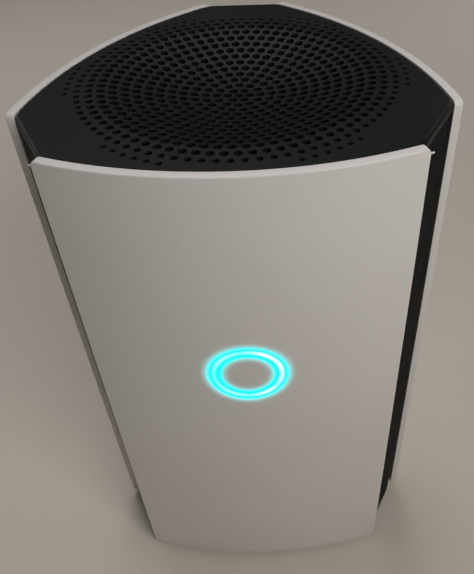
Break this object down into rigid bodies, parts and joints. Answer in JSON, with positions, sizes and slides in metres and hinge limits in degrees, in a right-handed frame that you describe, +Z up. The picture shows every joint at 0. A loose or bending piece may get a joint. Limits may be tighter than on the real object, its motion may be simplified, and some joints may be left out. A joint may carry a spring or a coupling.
{
  "type": "mesh wifi node",
  "caption": "Three-sided tower of bowed white panels round a black core, with a dished perforated top, a lit ring in front and ports and buttons down the back corner.",
  "frame": {"origin": "middle of the plan on the surface it stands on", "axes": "+Z up, -Y out of the panel with the lit ring, +Y out of the port corner"},
  "size_m": [0.1268, 0.1194, 0.204],
  "materials": {
    "white_shell": "warm off-white, satin, fine grain",
    "black_plastic": "black, satin",
    "lit_ring": "clear, lit cyan",
    "circuit_board": "green solder mask",
    "led_package": "pale yellow lamp packages",
    "screw_steel": "zinc plated",
    "ribbon_film": "amber film",
    "foot_rubber": "dull black",
    "carrier_plastic": "dark grey, moulded",
    "chip_black": "black epoxy",
    "can_steel": "tin plated, satin",
    "thermal_pad": "soft blue-grey pad",
    "sink_aluminium": "mill finish",
    "connector_plastic": "cream nylon",
    "antenna_board": "bare laminate",
    "lead_jacket": "dark grey jacket",
    "jack_shell": "nickel plated",
    "contact_brass": "gold plated",
    "button_plastic": "dark grey, satin",
    "reset_plastic": "dark red"
  },
  "bodies": {
    "housing": {"front_panel": "white_shell", "left_rear_panel": "white_shell", "right_rear_panel": "white_shell", "ring_cap": "white_shell", "light_guide": "lit_ring", "light_baffle": "black_plastic", "led_board": "circuit_board", "ring_leds": "led_package", "led_board_screws": "screw_steel", "led_ribbon": "ribbon_film", "top_grille": "black_plastic", "grille_screws": "screw_steel", "inner_housing": "black_plastic", "panel_screws": "screw_steel", "port_panel": "black_plastic", "base_plate": "black_plastic", "base_screws": "screw_steel", "rubber_feet": "foot_rubber", "board_carrier": "carrier_plastic", "carrier_screws": "screw_steel", "main_board": "circuit_board", "board_screws": "screw_steel", "board_chips": "chip_black", "shield_cans": "can_steel", "thermal_pads": "thermal_pad", "left_heat_sink": "sink_aluminium", "right_heat_sink": "sink_aluminium", "sink_screws": "screw_steel", "ribbon_connectors": "connector_plastic", "antenna_boards": "antenna_board", "antenna_clips": "carrier_plastic", "antenna_leads": "lead_jacket", "wan_jack": "jack_shell", "lan_jack_1": "jack_shell", "lan_jack_2": "jack_shell", "lan_jack_3": "jack_shell", "jack_contacts": "contact_brass", "dc_jack": "black_plastic", "dc_jack_pin": "can_steel", "button_switches": "carrier_plastic"},
    "power_cap": {"power_button": "button_plastic"},
    "pair_cap": {"pair_button": "button_plastic"},
    "reset_cap": {"reset_button": "reset_plastic"}
  },
  "joints": [
    {"name": "power_press", "type": "slide", "parent": "housing", "child": "power_cap", "axis": [0, -1, 0], "range_m": [0, 0.0006], "stiffness_N_per_m": 900},
    {"name": "pair_press", "type": "slide", "parent": "housing", "child": "pair_cap", "axis": [0, -1, 0], "range_m": [0, 0.0006], "stiffness_N_per_m": 900},
    {"name": "reset_press", "type": "slide", "parent": "housing", "child": "reset_cap", "axis": [0, -1, 0], "range_m": [0, 0.0006], "stiffness_N_per_m": 900}
  ]
}
